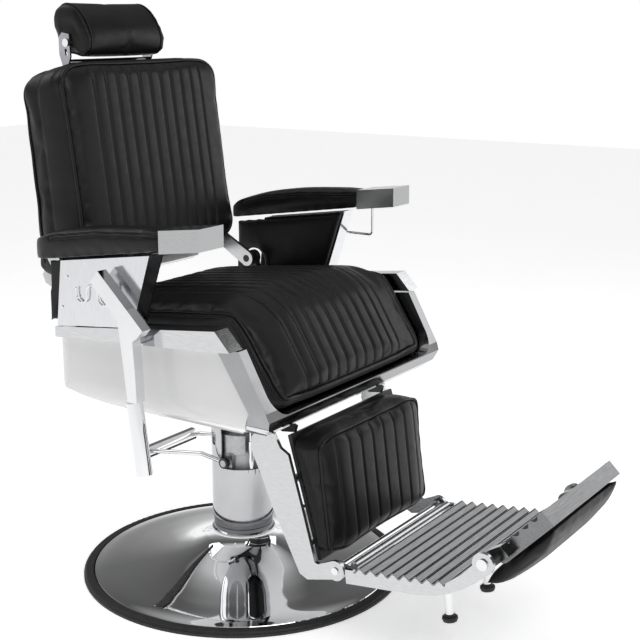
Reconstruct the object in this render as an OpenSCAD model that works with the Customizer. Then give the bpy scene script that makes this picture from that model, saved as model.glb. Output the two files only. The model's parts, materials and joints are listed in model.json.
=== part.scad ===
// Hydraulic barber chair: round base, turning pump column, lifting seat,
// reclining back, sliding headrest, swinging leg rest, folding footrest
// and flip-over kick plate. Millimetres, +Z up, the sitter faces -Y.

/* [Base] */
// Outer radius of the rubber ring under the base
ring_r = 335; // [320:1:345]
// Radius of the chrome base dish
dish_r = 314; // [300:1:316]
// Outer radius of the column shroud
shroud_r = 63.8; // [62:0.1:65]
// Radius of the piston rod
rod_r = 25; // [22:0.5:26]
// Radial running clearance of every shaft in its bore
run_fit = 0.05; // [0.02:0.01:0.1]

/* [Seat] */
// Half width over the side rails
rail_x = 328; // [324:1:332]
// Height of the rail top at the column axis
rail_z = 580; // [575:1:585]
// Fall of the seat towards the rear, rise per unit length
seat_slope = 0.11; // [0.1:0.005:0.12]
// Half width of the seat cushion
cushion_x = 250; // [240:1:251]

/* [Arms] */
// Outer half width over the arm pads
arm_x = 353.5; // [350:0.5:356]
// Inner half width between the arm pads
arm_in = 287; // [284:1:289]

/* [Back] */
// Half width of the backrest
back_x = 239; // [230:1:242]
// Half width of the headrest
head_x = 118; // [110:1:118]

/* [Leg rest] */
// Half width of the leg cushion
leg_x = 186; // [160:1:187]
// Pitch of the footrest ribs
rib_pitch = 23.1; // [22:0.1:24]
// Height of each rib from the middle line
rib_a = 4.2; // [3:0.1:4.5]
// Angle at which the kick plate stands up from level
kick_tilt = 46; // [44:1:48]

/* [Hidden] */
$fn = 48;

// hinge and slide places in the Y-Z plane
back_py = 170;  back_pz = 603;
leg_py = -205;  leg_pz = 393;
foot_py = -359; foot_pz = 149;
kick_py = -654; kick_pz = 236;
pump_py = -6;   pump_pz = 247;
rec_py = -26;  rec_pz = 568;
tilt_py = 331;  tilt_pz = 1080;
deck_slope = 6.6;
post_lean = 6;

function rail_top(y) = rail_z - seat_slope * y;
function wave(y, y0) = rib_a * cos(360 * (y - y0) / rib_pitch);

// outline in Y-Z drawn out along X
module prism_x(pts, x0, x1)
  translate([x0, 0, 0]) rotate([90, 0, 90]) linear_extrude(x1 - x0) polygon(pts);
// outline in X-Z drawn out along Y
module prism_y(y0, y1)
  translate([0, y1, 0]) rotate([90, 0, 0]) linear_extrude(y1 - y0) children();
module cyl_x(y, z, r, x0, x1)
  translate([x0, y, z]) rotate([0, 90, 0]) cylinder(r = r, h = x1 - x0);
module bar(p, q, r) {
  d = q - p; l = norm(d);
  translate(p) rotate([0, acos(d[2] / l), atan2(d[1], d[0])]) cylinder(r = r, h = l);
}
module pair() { children(); mirror([1, 0, 0]) children(); }
module slab(hx, z0, z1, r)
  union() {
    translate([-hx, z0 + r]) square([2 * hx, z1 - z0 - 2 * r]);
    translate([-hx + r, z0]) square([2 * hx - 2 * r, z1 - z0]);
    for (sx = [-1, 1], zz = [z0 + r, z1 - r]) translate([sx * (hx - r), zz]) circle(r);
  }

// ---------- base ----------
module base_rubber_ring() color([0.04, 0.04, 0.045])
  rotate_extrude($fn = 96) {
    translate([dish_r - 12, 0]) square([ring_r - dish_r + 5, 4]);
    translate([dish_r + 1.5, 0]) square([ring_r - dish_r - 9, 12]);
    translate([ring_r - 7.5, 6]) circle(r = 6);
    translate([ring_r - 7.5, 0]) square([7.5, 6]);
  }
module base_plate() color([0.82, 0.83, 0.85])
  rotate_extrude($fn = 96) polygon([
    [dish_r, 5], [dish_r + 0.8, 8], [dish_r - 2, 11.5], [288, 15.5], [240, 21], [190, 28], [150, 36],
    [118, 46], [96, 56], [80, 66], [72, 74], [66.5, 84], [66, 90], [61, 92],
    [61, 62], [61, 20.2], [93, 20.2], [93, 8], [240, 8], [dish_r - 12, 4.2], [dish_r - 2, 4.2]]);
module base_collar() color([0.3, 0.3, 0.32])
  rotate_extrude() difference() {
    union() {
      translate([45 + run_fit, 20]) square([15.9 - run_fit, 97.2]);
      translate([60, 92.3]) square([1.5, 23]);
    }
    translate([59.5, 100]) square([5, 1.5]);
  }
module thrust_bearing() color([0.5, 0.5, 0.52])
  rotate_extrude() union() {
    translate([28, 8.2]) square([64.5, 6]);
    translate([45.6, 14.2]) square([14.4, 5.6]);
    translate([28, 14.2]) square([15.5, 3]);
  }

// ---------- turning column ----------
module pump_cylinder() color([0.93, 0.93, 0.94]) difference() {
  union() {
    translate([0, 0, 18]) cylinder(r = 45, h = 242);
    translate([0, 0, 260]) cylinder(r = 36, h = 98);
  }
  translate([0, 0, 60]) cylinder(r = rod_r + run_fit, h = 320);
}
module column_shroud() color([0.85, 0.86, 0.88]) difference() {
  rotate_extrude($fn = 96) union() {
    translate([shroud_r - 3, 118]) square([3, 248]);
    translate([45, 118]) square([shroud_r - 45.5, 5]);
  }
  // window for the pump lever and its links, open to the front right
  translate([-80, -80, 232]) cube([62, 86, 96]);
  translate([-30, -80, 232]) cube([58, 60, 96]);
  // clearance for the two lever pivot pins
  cyl_x(pump_py, pump_pz, 7.5, -80, 80);
}
module pump_head() color([0.75, 0.76, 0.78]) difference() {
  union() {
    translate([0, 0, 262]) cylinder(r = 55, h = 40);
    pair() translate([46, -16, 233]) cube([10, 24, 30]);
    pair() cyl_x(pump_py, pump_pz, 7, 50, 74.5);
  }
  translate([0, 0, 250]) cylinder(r = 36, h = 90);
  translate([-40, -60, 250]) cube([16, 24, 60]);
}
module pump_plunger() color([0.9, 0.9, 0.91]) {
  translate([-32, -46, 232.5]) cylinder(r = 5, h = 58);
  translate([-32, -46, 290.5]) cylinder(r = 3, h = 30);
}
// pump lever, turning about its two pivot pins along X
module lever_shaft() color([0.25, 0.25, 0.27])
  pair() difference() {
    cyl_x(pump_py, pump_pz, 11, 64.5, 73.5);
    cyl_x(pump_py, pump_pz, 7 + run_fit, 60, 80);
  }
module lever_fork() color([0.7, 0.71, 0.73])
  pair() difference() {
    union() {
      bar([69, 4, 250], [69, 52, 256], 4.5);
      translate([69, 52, 256]) sphere(r = 4.7, $fn = 32);
      bar([69, 52, 256], [69, 168, 239], 4.5);
      translate([69, 168, 239]) sphere(r = 4.7, $fn = 32);
      bar([69, 168, 239], [69, 206, 231], 4.5);
    }
    cyl_x(pump_py, pump_pz, 11, 60, 80);
  }
module pedal_bar() color([0.85, 0.85, 0.84]) difference() {
  translate([0, 206, 226]) rotate([0, 90, 0]) cylinder(r = 16, h = 172, center = true);
  translate([-90, 180, 200]) cube([180, 60, 25.8]);
  pair() bar([69, 168, 239], [69, 206, 231], 4.5);
}
module pedal_core() color([0.06, 0.06, 0.06])
  translate([-84, 193, 219.5]) cube([168, 26, 6]);

// ---------- lifting seat ----------
module piston_rod() color([0.8, 0.8, 0.82])
  translate([0, 0, 70]) cylinder(r = rod_r, h = 310);
module seat_mount_plate() color([0.12, 0.12, 0.13]) difference() {
  union() {
    translate([-44, -90, 372]) cube([88, 180, 12]);
    translate([-44, -90, 384]) cube([88, 180, 13]);
  }
  translate([0, 0, 360]) cylinder(r = rod_r, h = 20);
}
module slide_channels() color([0.12, 0.12, 0.13])
  pair() difference() {
    translate([45, -165, 372]) cube([30, 235, 25.5]);
    translate([51.5, -170, 377.5]) cube([17, 250, 15]);
  }
module seat_board() color([0.35, 0.27, 0.18]) intersection() {
  prism_y(-300, 200) slab(280, 449.5, 800, 41);
  prism_x([[190, rail_top(190) - 12], [-172, rail_top(-172) - 12], [-255, 457], [-262, 449.5],
           [-246, 449.5], [-168, rail_top(-168) - 34], [190, rail_top(190) - 27]], -280, 280);
}
// outline of the shell, set in by i, with the inner one open at the top
module shell_side(i) polygon(concat([[228 - i, 550 - i], [234 - i, 520], [235 - i, 472 + i], [226 - i, 450 + i], [206 - i, 432 + i],
  [165, 419 + i], [110, 408 + i], [34, 398.5 + i], [-47, 398.5 + i], [-134, 402 + i], [-214, 406.5 + i],
  [-228 + i, 417], [-238 + i, 437], [-248 + i, 455], [-181 + i, 560 + 10 * i],
  [-120, 559 + 10 * i], [i > 0 ? 197 : 193, 536.2 + 10 * i]],
  i > 0 ? [[197, 550 - i]] : [[193.5, 550]]));
module shell_body(i)
  intersection() {
    translate([-320, 0, 0]) rotate([90, 0, 90]) linear_extrude(640) shell_side(i);
    prism_y(-260, 240) slab(303 - i, 396 + i, 700, 60 - i);
    linear_extrude(700) difference() {
      translate([-303 + i, -262]) square([606 - 2 * i, 497 - i]);
      pair() difference() {
        translate([243, 175]) square([70, 70]);
        translate([243, 175]) circle(r = 60 - i);
      }
    }
  }
module skirt_shell() color([0.95, 0.95, 0.96]) difference() {
  shell_body(0);
  shell_body(3);
  translate([0, 0, 380]) cylinder(r = 44, h = 40);
  // the seat board's front lip fills this opening
  translate([-283, -262, 447.5]) cube([566, 100, 150]);
}
module rail() difference() {
  prism_x([[191, rail_top(191)], [-194, rail_top(-194)], [-226, 567], [-181, 562.5], [-22, 553], [191, 539]], 291, rail_x);
  cyl_x(rec_py, rec_pz, 8 + run_fit, 280, 340);
}
module side_rail_left() color([0.85, 0.86, 0.88]) rail();
module side_rail_right() color([0.85, 0.86, 0.88]) mirror([1, 0, 0]) rail();
module front_band() color([0.85, 0.86, 0.88]) difference() {
  intersection() {
    prism_x([[-181.5, 560.5], [-229, 565.5], [-286, 462], [-292, 446], [-284, 426], [-266, 411.5],
             [-226, 407.5], [-216, 406.5], [-229, 416], [-240, 437], [-249.5, 455.5]], -306, 306);
    prism_y(-300, -150) slab(306, 404, 700, 58);
  }
  prism_y(-320, -140) slab(283, 448, 700, 42);
}
module seat_cushion() color([0.05, 0.05, 0.055]) difference() {
  intersection() {
    prism_x([[190, rail_top(190) - 11.7], [190, 582], [176, 597], [-150, 634], [-188, 626], [-214, 600],
             [-252, 534], [-286, 478], [-292, 468], [-290, 462], [-262, 457.3], [-256, 457.3],
             [-172.3, rail_top(-172) - 11.7]], -cushion_x, cushion_x);
    prism_y(-300, 200) slab(cushion_x, 457, 800, 34);
  }
  // room for the recline hinges at the rear corners
  pair() translate([238, 138, 500]) cube([30, 60, 200]);
}

// ---------- arms ----------
module arm_side() union() {
  prism_x([[161, 690], [-57, 721], [-12, 584.5], [177, 565]], 332, 335);
  prism_x([[-57, 721], [-53.8, 720.6], [-8.9, 584.2], [-12, 584.5]], 300, 332);
}
module arm_plates() color([0.86, 0.87, 0.88]) difference() {
  pair() arm_side();
  cyl_x(rec_py, rec_pz, 12, -340, -330);
}
module arm_cores() color([0.1, 0.1, 0.1])
  pair() prism_x([[158, 689.6], [-53.5, 719.6], [-8.6, 584.6], [173, 566]], 300.3, 331.7);
module arm_panel() difference() {
  prism_x([[228, 681], [-58, 720.5], [-13, 584], [150, 566.5], [236, 560]], 288, 300);
  cyl_x(184, 585, 30, 280, 310);
  translate([280, 184, 540]) cube([30, 60, 20]);
}
module arm_panel_left() color([0.05, 0.05, 0.055]) arm_panel();
module arm_panel_right() color([0.05, 0.05, 0.055]) mirror([1, 0, 0]) arm_panel();
module arm_pad() intersection() {
  prism_x([[250, 680], [-95, 730.5], [-95, 770], [-60, 770], [60, 762], [160, 747], [226, 728], [244, 714], [250, 700]], arm_in, arm_x);
  linear_extrude(900) union() {
    translate([arm_in, -95]) square([arm_x - arm_in, 275]);
    translate([arm_in, 180]) circle(r = arm_x - arm_in);
  }
}
module arm_pad_left() color([0.05, 0.05, 0.055]) arm_pad();
module arm_pad_right() color([0.05, 0.05, 0.055]) mirror([1, 0, 0]) arm_pad();
module arm_cap() difference() {
  prism_x([[-95.3, 730.5], [-186, 742.5], [-186, 782], [-95.3, 771.5]], arm_in, arm_x);
}
module arm_cap_left() color([0.88, 0.88, 0.89]) arm_cap();
module arm_cap_right() color([0.88, 0.88, 0.89]) mirror([1, 0, 0]) arm_cap();
// part of a ring in the Y-Z plane, swept from angle a0 by da about X
module elbow_yz(x, y, z, rr, r, a0, da)
  translate([x, y, z]) rotate([90, 0, 90]) rotate([0, 0, a0]) rotate_extrude(angle = da) translate([rr, 0]) circle(r = r, $fn = 32);
module towel_bar() color([0.8, 0.8, 0.82]) {
  translate([345, -100, 676]) cylinder(r = 3, h = 54);
  elbow_yz(345, -92, 676, 8, 3, 180, 90);
  cyl_y(345, 668, 3, -92, 36);
  cyl_y(345, 668, 4, 36, 44);
  cyl_x(40, 668, 3, 335.2, 343);
}
module towel_hook() color([0.8, 0.8, 0.82]) {
  translate([-339.5, 119.5, 632]) cylinder(r = 2, h = 13, $fn = 32);
  elbow_yz(-339.5, 106, 632, 13.5, 2, 180, 180);
  translate([-339.5, 92.5, 632]) cylinder(r = 2, h = 8, $fn = 32);
  elbow_yz(-339.5, 79, 640, 13.5, 2, 0, 180);
  translate([-339.5, 65.5, 632]) cylinder(r = 2, h = 8, $fn = 32);
  elbow_yz(-339.5, 52, 632, 13.5, 2, 180, 180);
  translate([-339.5, 38.5, 632]) cylinder(r = 2, h = 26, $fn = 32);
  cyl_x(79, 653.5, 3.5, -338.5, -335.2);
}
module arm_screws() color([0.6, 0.6, 0.62])
  pair() for (p = [[146, 661], [162, 602]]) {
    cyl_x(p[0], p[1], 3.2, 335.1, 336.6);
  }
module hinge_posts() color([0.06, 0.06, 0.065]) pair() difference() {
  union() {
    cyl_x(back_py, back_pz, 16, 262.5, 278);
    prism_x([[156, 597], [184, 597], [190, rail_top(190) - 11.8], [150, rail_top(150) - 11.8]], 262.5, 278);
    cyl_x(back_py, back_pz, 8, 244.5, 262.5);
  }
  cyl_x(back_py, back_pz, 4, 276, 280);
}
module gas_strut_tube() color([0.08, 0.08, 0.085]) difference() {
  cyl_y(0, 500, 14, -150, 60);
  cyl_y(0, 500, 5 + run_fit, -120, 80);
}
module cyl_y(x, z, r, y0, y1) translate([x, y0, z]) rotate([-90, 0, 0]) cylinder(r = r, h = y1 - y0);
module gas_strut_rod() color([0.8, 0.8, 0.82]) cyl_y(0, 500, 5, -70, 150);

// ---------- recline lever, on the sitter's right ----------
module recline_lever() color([0.86, 0.87, 0.88])
  prism_x([[56, 668], [37, 689], [-39, 617], [-65, 592], [-52, 578], [-40, 569], [-44, 517], [-46, 456],
           [-24, 456], [-10, 578], [-6, 603], [28, 639]], -368, -346);
module recline_grip() color([0.82, 0.83, 0.85])
  difference() {
    bar([-357, -31, 454.3], [-357, -49, 320], 15);
    bar([-357, -48.3, 325], [-357, -49.6, 315.6], 9);
  }
module lever_bushes() color([0.7, 0.7, 0.72]) union() {
  cyl_x(rec_py, rec_pz, 8, -345.9, -285);
  cyl_x(rec_py, rec_pz, 11.5, -345.9, -328.4);
}

// ---------- back ----------
module back_hinge_arms() color([0.8, 0.81, 0.83]) pair() difference() {
  union() {
    cyl_x(back_py, back_pz, 17, 245, 253);
    prism_x([[160, 617], [184, 592], [262, 640], [300, 700], [284, 712], [240, 662]], 245, 253);
    cyl_x(268, 664, 8, 239.2, 245);
    cyl_x(286, 694, 8, 239.2, 245);
  }
  cyl_x(back_py, back_pz, 8 + run_fit, 240, 260);
}
module back_side_front() polygon([[224, 640], [278, 1002], [276, 1026], [286, 1036], [316, 1036], [338, 1024], [349, 1000],
  [341, 880], [326, 640], [318, 626], [300, 620], [240, 626]]);
module back_outline(hx, z0, z1, r) slab(hx, z0, z1, r);
module back_shell() color([0.05, 0.05, 0.055]) difference() {
  intersection() {
    translate([-260, 0, 0]) rotate([90, 0, 90]) linear_extrude(520) back_side_front();
    prism_y(150, 400) slab(back_x, 600, 1037, 52);
  }
  pair() translate([60, 322, 900]) rotate([-post_lean, 0, 0]) translate([0, 0, -160]) cylinder(r = 9, h = 400);
}
module back_cushion() color([0.05, 0.05, 0.055])
  intersection() {
    prism_x([[223, 641], [277.2, 1001], [274.5, 1028], [272, 1043], [264, 1050], [252, 1051], [243, 1047], [236, 1036], [190, 700], [190, 664], [198, 648], [208, 641]], -237, 237);
    prism_y(150, 400) slab(237, 641, 1051, 50);
  }
module back_lower_cover() color([0.8, 0.84, 0.9])
  prism_x([[272, 622], [300, 619.2], [319, 625.3], [333, 642], [346, 622], [339, 606], [319, 597], [292, 597], [275, 607]], -205, 205);
module head_sockets() color([0.1, 0.1, 0.1])
  pair() translate([60, 322, 900]) rotate([-post_lean, 0, 0]) translate([0, 0, -60]) difference() {
    cylinder(r = 9, h = 186);
    translate([0, 0, -1]) cylinder(r = 6 + run_fit, h = 190);
  }

// ---------- headrest ----------
module headrest_posts() color([0.82, 0.83, 0.85]) union() {
  pair() translate([60, 322, 900]) rotate([-post_lean, 0, 0]) translate([0, 0, -20]) cylinder(r = 6, h = 161.8);
  cyl_x(336.8, 1041, 6, -120.5, 120.5);
  pair() difference() {
    prism_x([[322, 1052], [329, 1035], [344, 1035], [352, 1058], [352, 1090], [343, 1100], [324, 1097]], 120, 124);
    cyl_x(tilt_py, tilt_pz, 4 + run_fit, 110, 130);
    prism_x([[329, 1055], [335, 1055], [337, 1068], [331, 1068]], 110, 130);
  }
}
module headrest_cushion() color([0.05, 0.05, 0.055]) difference() {
  intersection() {
    prism_x([[292, 1049], [280, 1058], [275, 1072], [274, 1090], [283, 1112], [297, 1133], [312, 1149], [328, 1159],
             [345, 1163], [361, 1159], [373, 1147], [380, 1129], [380, 1112], [374, 1094], [370, 1076], [364, 1064],
             [352, 1057], [322, 1056], [315, 1049]], -head_x, head_x);
    prism_y(200, 400) slab(head_x, 1045, 1164, 20);
  }
  pair() cyl_x(tilt_py, tilt_pz, 4, 98, 122);
}
module headrest_pins() color([0.8, 0.8, 0.82]) pair() union() {
  cyl_x(tilt_py, tilt_pz, 4, 98, 126);
  cyl_x(tilt_py, tilt_pz, 7, 118.1, 119.7);
  cyl_x(tilt_py, tilt_pz, 8, 124.3, 128);
}

// ---------- leg rest ----------
module leg_slide_bars() color([0.06, 0.06, 0.065]) pair() difference() {
  union() {
    translate([52, leg_py + 6, 378]) cube([16, 255, 14]);
    cyl_x(leg_py, leg_pz, 12, 52, 68);
  }
  cyl_x(leg_py, leg_pz, 9 + run_fit, 50, 70);
}
module leg_frame() difference() {
  union() {
    prism_x([[-173, 372], [-193, 392], [-216, 397], [-224, 386], [-238, 361], [-256, 351], [-287, 249], [-314, 155],
             [-322, 153], [-352, 166.5], [-352, 130.6], [-298, 117], [-281, 125], [-221, 240], [-192, 306], [-171, 348]], 190, 198);
    cyl_x(leg_py, leg_pz, 12, 190, 198);
    cyl_x(foot_py, foot_pz, 19, 190, 198);
  }
  cyl_x(foot_py, foot_pz, 7, 185, 205);
  cyl_x(leg_py, leg_pz, 9, 185, 205);
}
module leg_frame_left() color([0.86, 0.87, 0.88]) leg_frame();
module leg_frame_right() color([0.86, 0.87, 0.88]) mirror([1, 0, 0]) leg_frame();
module leg_cross_tubes() color([0.7, 0.71, 0.73]) {
  cyl_x(leg_py, leg_pz, 9, -198, 198);
  cyl_x(-257, 300, 7.5, -190, 190);
  cyl_x(-291, 180, 7.5, -190, 190);
  cyl_x(foot_py, foot_pz, 7, -200.5, 200.5);
}
module leg_board() color([0.06, 0.06, 0.065]) union() {
  prism_x([[-250.3, 384], [-317.8, 154], [-310.3, 152], [-242.8, 382]], -180, 180);
  pair() difference() {
    prism_x([[-242.6, 381.8], [-215, 378], [-192, 386], [-196, 403.5], [-215, 404], [-246, 394]], 150, 158);
    cyl_x(leg_py, leg_pz, 9, 140, 170);
    translate([145, -262, 380]) cube([20, 16, 30]);
  }
}
module leg_cushion() color([0.05, 0.05, 0.055])
  intersection() {
    prism_x([[-250.6, 385.5], [-258, 389], [-305, 389], [-318, 382], [-344, 172], [-341, 161], [-318.2, 155]], -leg_x, leg_x);
    prism_y(-360, -200) slab(leg_x, 150, 392, 26);
  }

// footrest parts are drawn level about the footrest pivot, then tipped to the deck slope
module on_deck() translate([0, foot_py, foot_pz]) rotate([-deck_slope, 0, 0]) children();
deck_top = 8.4;
peak0 = -53.9;
module foot_deck() color([0.55, 0.56, 0.57]) on_deck()
  prism_x(concat(
    [for (y = [-227:2.31:-41]) [y, deck_top + wave(y, peak0)]],
    [for (i = [0:80]) let(y = -41.2 - i * 2.31) [y, deck_top - 3 + wave(y, peak0)]]), -198, 198);
module foot_rail() difference() {
  union() {
    prism_x(concat(
      [for (i = [0:80]) let(y = -41.2 - i * 2.31) [y, deck_top - 3.2 + wave(y, peak0)]],
      [[-229, 9], [-245, 19], [-262, 30], [-283, 48], [-292, 69], [-320, 42], [-310, 34], [-285, 16], [-262, 3],
       [-235, -9], [-205, -18], [-165, -21.5], [-22, -20.6], [-22, 6], [-38, 6]]), 190, 198);
    cyl_x(-303, 52.5, 20, 190, 198);
  }
  cyl_x(-303, 52.5, 6, 180, 210);
}
module foot_rails() color([0.88, 0.89, 0.9]) on_deck() difference() {
  pair() foot_rail();
  translate([-210, -21.7, -40]) cube([420, 40, 80]);
  translate([0, 0, 0]) pair() cyl_x(0, 0, 21.5, 186, 210);
}
module foot_lugs() color([0.6, 0.61, 0.63]) on_deck() {
  pair() difference() {
    union() {
      cyl_x(0, 0, 13, 178, 187);
      prism_x([[0, 12], [-36, 0.6], [-60, -2], [-60, -12], [0, -12]], 178, 187);
    }
    cyl_x(0, 0, 7 + run_fit, 170, 200);
  }
  cyl_x(-52, -8, 4, -178, 178);
  cyl_x(-30, 7, 7.5, -178, 178);
  prism_x([[-70, -10.5], [-70, -6.5], [-215, -6.5], [-215, -10.5]], -110, -44);
  prism_x([[-70, -10.5], [-70, -6.5], [-215, -6.5], [-215, -10.5]], 44, 110);
  pair() translate([178, -215, -12]) cube([12, 155, 12]);
  translate([-178, -215, -10.5]) cube([356, 10, 4]);
}
module foot_studs() color([0.85, 0.86, 0.87]) on_deck()
  pair() {
    translate([77, -162, -105]) cylinder(r = 8, h = 94.3);
    translate([77, -162, -22]) cylinder(r = 12, h = 7);
  }
module rubber_feet() color([0.04, 0.04, 0.04]) on_deck()
  pair() translate([77, -162, 0]) rotate_extrude() polygon([[0, -105.2], [9.5, -105.2], [10, -108], [14.5, -110], [15, -114], [13, -119], [0, -119.5]]);
module kick_pins() color([0.75, 0.76, 0.78]) on_deck()
  pair() {
    cyl_x(-303, 52.5, 6, 152, 200);
    cyl_x(-303, 52.5, 10, 198.1, 201.5);
  }

// kick plate parts are drawn level about their pivot, then tipped up
module on_kick() translate([0, kick_py, kick_pz]) rotate([-kick_tilt, 0, 0]) children();
module kick_frame() color([0.8, 0.81, 0.83]) on_kick() union() {
  prism_x(concat(
    [for (i = [0:51]) let(y = -122 + i * 2.31) [y, 4.5 + wave(y, -118)]],
    [for (i = [0:51]) let(y = -4.2 - i * 2.31) [y, 1.5 + wave(y, -118)]]), -145, 145);
  pair() difference() {
    union() {
      prism_x(concat(
        [for (i = [0:51]) let(y = -122 + i * 2.31) [y, 5 + wave(y, -118)]],
        [[0, -18], [-8, -22], [-122, -22]]), 145, 150);
      cyl_x(0, 0, 15, 150, 187);
      prism_x([[0, 15], [-34, 6], [-34, -16], [0, -15]], 150, 172);
    }
    cyl_x(0, 0, 6 + run_fit, 140, 200);
  }
  prism_x([[-122, -22], [-122, 8.5], [-127, 8.5], [-127, -22]], -150, 150);
}
module kick_pad() color([0.05, 0.05, 0.055]) on_kick() intersection() {
  prism_x([[62, -22.4], [-127, -22.4], [-127, -26], [-110, -34], [-85, -44], [-50, -52], [-15, -54], [15, -50], [40, -40], [58, -28], [62, -25]], -150, 150);
  prism_y(-130, 70) polygon([[-150, -22.4], [150, -22.4], [150, -40], [135, -47], [90, -52], [40, -54.5], [-40, -54.5], [-90, -52], [-135, -47], [-150, -40]]);
}

base_rubber_ring();
base_plate();
base_collar();
thrust_bearing();
pump_cylinder();
column_shroud();
pump_head();
pump_plunger();
lever_shaft();
lever_fork();
pedal_bar();
pedal_core();
piston_rod();
seat_mount_plate();
slide_channels();
seat_board();
skirt_shell();
side_rail_left();
side_rail_right();
front_band();
seat_cushion();
arm_plates();
arm_cores();
arm_panel_left();
arm_panel_right();
arm_pad_left();
arm_pad_right();
arm_cap_left();
arm_cap_right();
towel_bar();
towel_hook();
arm_screws();
hinge_posts();
gas_strut_tube();
gas_strut_rod();
back_hinge_arms();
back_shell();
back_cushion();
back_lower_cover();
head_sockets();
headrest_posts();
headrest_cushion();
headrest_pins();
leg_slide_bars();
leg_frame_left();
leg_frame_right();
leg_cross_tubes();
leg_board();
leg_cushion();
foot_deck();
foot_rails();
foot_lugs();
foot_studs();
rubber_feet();
kick_pins();
kick_frame();
kick_pad();
recline_lever();
recline_grip();
lever_bushes();
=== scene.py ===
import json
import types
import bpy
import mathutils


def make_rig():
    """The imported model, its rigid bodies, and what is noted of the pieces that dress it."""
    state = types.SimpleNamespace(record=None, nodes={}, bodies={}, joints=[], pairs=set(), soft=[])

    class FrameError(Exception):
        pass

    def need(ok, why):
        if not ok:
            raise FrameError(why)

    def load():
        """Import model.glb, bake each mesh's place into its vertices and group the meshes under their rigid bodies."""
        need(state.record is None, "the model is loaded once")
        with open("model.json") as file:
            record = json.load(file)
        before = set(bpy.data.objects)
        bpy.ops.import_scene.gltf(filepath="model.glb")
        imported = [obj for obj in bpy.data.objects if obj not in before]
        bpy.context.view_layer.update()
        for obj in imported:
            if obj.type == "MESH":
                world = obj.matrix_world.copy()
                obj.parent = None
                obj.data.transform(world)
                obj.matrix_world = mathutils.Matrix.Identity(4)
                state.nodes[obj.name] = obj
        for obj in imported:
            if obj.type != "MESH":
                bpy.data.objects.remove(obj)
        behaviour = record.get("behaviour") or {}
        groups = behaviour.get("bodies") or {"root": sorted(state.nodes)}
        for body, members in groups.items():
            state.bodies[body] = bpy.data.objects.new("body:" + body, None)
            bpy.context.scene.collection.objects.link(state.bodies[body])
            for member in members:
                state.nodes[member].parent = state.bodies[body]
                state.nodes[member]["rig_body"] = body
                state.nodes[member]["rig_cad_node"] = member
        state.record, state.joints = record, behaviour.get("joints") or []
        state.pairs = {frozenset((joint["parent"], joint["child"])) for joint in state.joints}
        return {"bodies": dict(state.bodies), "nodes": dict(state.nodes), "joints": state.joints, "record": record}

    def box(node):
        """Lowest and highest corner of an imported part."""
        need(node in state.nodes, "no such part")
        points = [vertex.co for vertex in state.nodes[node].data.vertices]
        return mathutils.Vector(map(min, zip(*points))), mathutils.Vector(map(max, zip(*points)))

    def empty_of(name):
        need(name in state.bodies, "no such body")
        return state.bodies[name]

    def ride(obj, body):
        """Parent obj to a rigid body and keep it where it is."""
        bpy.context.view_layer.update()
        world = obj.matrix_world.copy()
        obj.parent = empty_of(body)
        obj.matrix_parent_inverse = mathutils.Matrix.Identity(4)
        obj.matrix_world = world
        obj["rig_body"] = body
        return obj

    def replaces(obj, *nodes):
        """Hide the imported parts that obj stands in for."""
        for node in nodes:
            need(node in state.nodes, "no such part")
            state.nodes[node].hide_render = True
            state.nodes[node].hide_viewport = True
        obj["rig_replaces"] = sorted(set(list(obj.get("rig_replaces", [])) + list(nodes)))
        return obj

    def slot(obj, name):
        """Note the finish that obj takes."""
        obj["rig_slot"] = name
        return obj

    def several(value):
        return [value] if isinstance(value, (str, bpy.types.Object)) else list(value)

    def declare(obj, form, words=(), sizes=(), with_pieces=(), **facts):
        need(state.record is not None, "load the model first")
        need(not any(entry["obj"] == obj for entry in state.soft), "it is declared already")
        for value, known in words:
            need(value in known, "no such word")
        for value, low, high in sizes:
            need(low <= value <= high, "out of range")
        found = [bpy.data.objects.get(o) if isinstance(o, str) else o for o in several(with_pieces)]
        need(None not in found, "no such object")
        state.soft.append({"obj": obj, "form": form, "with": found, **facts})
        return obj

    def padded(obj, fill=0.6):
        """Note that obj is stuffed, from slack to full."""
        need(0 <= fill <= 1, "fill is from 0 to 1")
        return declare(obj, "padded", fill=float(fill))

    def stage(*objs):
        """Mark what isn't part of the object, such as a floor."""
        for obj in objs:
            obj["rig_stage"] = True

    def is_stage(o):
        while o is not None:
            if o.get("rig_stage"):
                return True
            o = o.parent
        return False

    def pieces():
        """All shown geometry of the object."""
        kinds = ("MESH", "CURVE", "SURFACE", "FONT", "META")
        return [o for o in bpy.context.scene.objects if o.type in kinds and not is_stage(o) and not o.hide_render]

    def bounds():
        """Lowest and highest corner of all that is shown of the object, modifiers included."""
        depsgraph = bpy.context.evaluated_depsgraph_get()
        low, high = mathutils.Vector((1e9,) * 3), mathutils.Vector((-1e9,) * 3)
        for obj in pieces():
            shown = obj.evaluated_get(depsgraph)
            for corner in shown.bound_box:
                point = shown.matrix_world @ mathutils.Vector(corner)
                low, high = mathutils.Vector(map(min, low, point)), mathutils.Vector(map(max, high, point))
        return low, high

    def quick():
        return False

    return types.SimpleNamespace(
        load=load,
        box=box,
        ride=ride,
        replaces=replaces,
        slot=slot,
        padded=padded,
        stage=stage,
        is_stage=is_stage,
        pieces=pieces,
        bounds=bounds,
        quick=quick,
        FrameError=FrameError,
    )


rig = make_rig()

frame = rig.load()

import json, math
import bpy
import bmesh
import numpy as np
from mathutils import Vector, Matrix
from mathutils.bvhtree import BVHTree
from mathutils.kdtree import KDTree

cad_bounds = [list(map(float, p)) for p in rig.bounds()]
nodes = frame["nodes"]
scene = bpy.context.scene
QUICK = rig.quick()
MM = 0.001


# ------------------------------------------------------------------ materials
def new_mat(name):
    m = bpy.data.materials.new(name)
    m.use_nodes = True
    nt = m.node_tree
    bsdf = next(n for n in nt.nodes if n.type == "BSDF_PRINCIPLED")
    return m, nt, bsdf


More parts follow.
